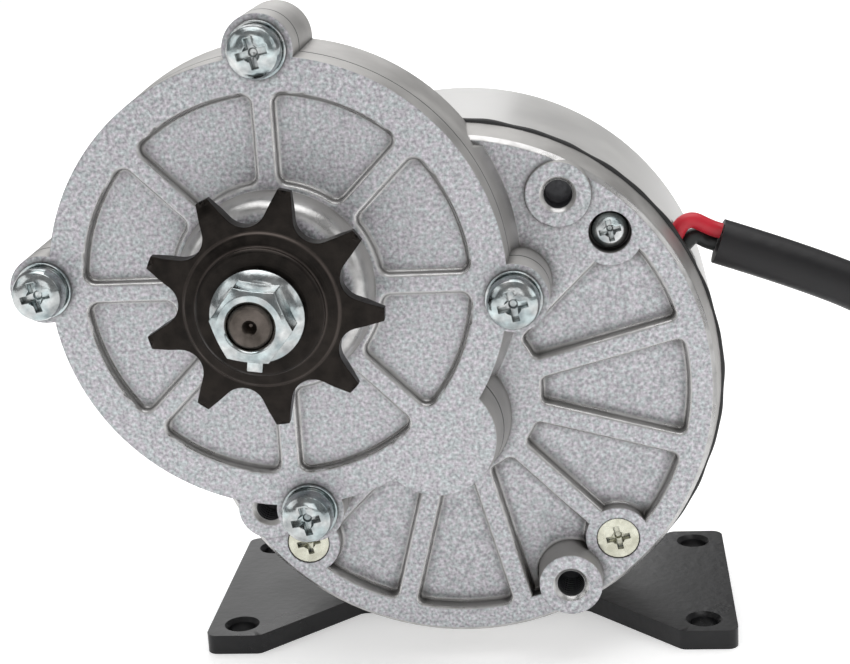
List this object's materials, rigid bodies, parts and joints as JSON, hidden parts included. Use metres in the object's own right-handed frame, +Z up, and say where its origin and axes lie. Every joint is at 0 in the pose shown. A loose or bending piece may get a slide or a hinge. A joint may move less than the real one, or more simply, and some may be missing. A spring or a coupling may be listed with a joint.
{
  "type": "geared electric motor",
  "caption": "Brushed DC motor in a round can with an offset spur reduction gear case, a chain sprocket on the output shaft, a foot-mounted base plate and a pair of leads.",
  "frame": {"origin": "underside of the base plate, below the middle of the can, at the centre of the four foot holes", "axes": "+Z up, motor and output shafts along Y, the sprocket faces -Y, +X is to the right seen from the sprocket's side"},
  "size_m": [0.2651, 0.1367, 0.1289],
  "materials": {
    "black_paint": "semi-gloss black paint on steel plate",
    "grey_paint": "satin light warm grey enamel",
    "black_sealant": "matt black sealant",
    "die_cast": "blasted die-cast aluminium",
    "gasket_paper": "dark gasket paper",
    "seal_rubber": "black nitrile rubber",
    "zinc_plate": "bright zinc-plated steel",
    "yellow_zinc": "pale yellow zinc-plated steel",
    "bearing_steel": "ground bearing steel",
    "cage_brass": "pressed brass",
    "gear_steel": "cut gear steel, oiled",
    "shaft_steel": "turned steel",
    "black_oxide": "dark brown-black oxide on steel",
    "core_laminations": "stacked electrical steel",
    "copper_coils": "enamelled copper wire",
    "commutator_copper": "turned copper segments",
    "ferrite": "dark ceramic ferrite",
    "brown_laminate": "brown phenolic laminate",
    "holder_brass": "bent brass sheet",
    "brush_carbon": "pressed carbon",
    "spring_steel": "spring steel",
    "red_insulation": "red silicone insulation",
    "black_insulation": "black silicone insulation",
    "black_sleeve": "black heat-shrink sleeve",
    "connector_nylon": "black nylon",
    "contact_brass": "tinned brass",
    "grommet_rubber": "black rubber"
  },
  "bodies": {
    "housing": {"base_plate": "black_paint", "base_welds": "black_paint", "motor_can": "grey_paint", "can_seal": "black_sealant", "rear_cap": "grey_paint", "end_bell": "die_cast", "gear_cover": "die_cast", "cover_gasket": "gasket_paper", "oil_seal": "seal_rubber", "cover_screws": "zinc_plate", "cover_plain_washers": "zinc_plate", "cover_spring_washers": "zinc_plate", "flat_head_bolts": "yellow_zinc", "pan_head_bolt": "zinc_plate", "output_front_bearing_outer_race": "bearing_steel", "output_rear_bearing_outer_race": "bearing_steel", "motor_front_bearing_outer_race": "bearing_steel", "motor_rear_bearing_outer_race": "bearing_steel", "field_magnets": "ferrite", "brush_ring": "brown_laminate", "brush_holders": "holder_brass", "carbon_brushes": "brush_carbon", "brush_springs": "spring_steel", "lead_red": "red_insulation", "lead_black": "black_insulation", "lead_sleeve": "black_sleeve", "lead_connector": "connector_nylon", "connector_blades": "contact_brass", "lead_grommet": "grommet_rubber"},
    "output": {"output_shaft": "shaft_steel", "output_gear": "gear_steel", "gear_key": "gear_steel", "sprocket_key": "gear_steel", "sprocket": "black_oxide", "tab_washer": "zinc_plate", "flange_nut": "zinc_plate", "shaft_spacer": "gear_steel", "output_front_bearing_inner_race": "bearing_steel", "output_rear_bearing_inner_race": "bearing_steel"},
    "armature": {"armature_shaft": "gear_steel", "armature_core": "core_laminations", "armature_windings": "copper_coils", "commutator": "commutator_copper", "motor_front_bearing_inner_race": "bearing_steel", "motor_rear_bearing_inner_race": "bearing_steel"},
    "output_front_balls": {"output_front_bearing_balls": "bearing_steel", "output_front_bearing_cage": "cage_brass"},
    "output_rear_balls": {"output_rear_bearing_balls": "bearing_steel", "output_rear_bearing_cage": "cage_brass"},
    "motor_front_balls": {"motor_front_bearing_balls": "bearing_steel", "motor_front_bearing_cage": "cage_brass"},
    "motor_rear_balls": {"motor_rear_bearing_balls": "bearing_steel", "motor_rear_bearing_cage": "cage_brass"}
  },
  "joints": [
    {"name": "armature_spin", "type": "hinge", "parent": "housing", "child": "armature", "pos_m": [0, 0, 0.0548], "axis": [0, 1, 0], "continuous": true},
    {"name": "output_spin", "type": "hinge", "parent": "housing", "child": "output", "pos_m": [-0.02994, 0, 0.07948], "axis": [0, 1, 0], "continuous": true},
    {"name": "output_front_cage_spin", "type": "hinge", "parent": "housing", "child": "output_front_balls", "pos_m": [-0.02994, 0, 0.07948], "axis": [0, 1, 0], "continuous": true},
    {"name": "output_rear_cage_spin", "type": "hinge", "parent": "housing", "child": "output_rear_balls", "pos_m": [-0.02994, 0, 0.07948], "axis": [0, 1, 0], "continuous": true},
    {"name": "motor_front_cage_spin", "type": "hinge", "parent": "housing", "child": "motor_front_balls", "pos_m": [0, 0, 0.0548], "axis": [0, 1, 0], "continuous": true},
    {"name": "motor_rear_cage_spin", "type": "hinge", "parent": "housing", "child": "motor_rear_balls", "pos_m": [0, 0, 0.0548], "axis": [0, 1, 0], "continuous": true}
  ],
  "couplings": [
    {"joint": "output_spin", "follows": "armature_spin", "ratio": -0.10227},
    {"joint": "output_front_cage_spin", "follows": "armature_spin", "ratio": -0.04125},
    {"joint": "output_rear_cage_spin", "follows": "armature_spin", "ratio": -0.04125},
    {"joint": "motor_front_cage_spin", "follows": "armature_spin", "ratio": 0.355},
    {"joint": "motor_rear_cage_spin", "follows": "armature_spin", "ratio": 0.36467}
  ]
}
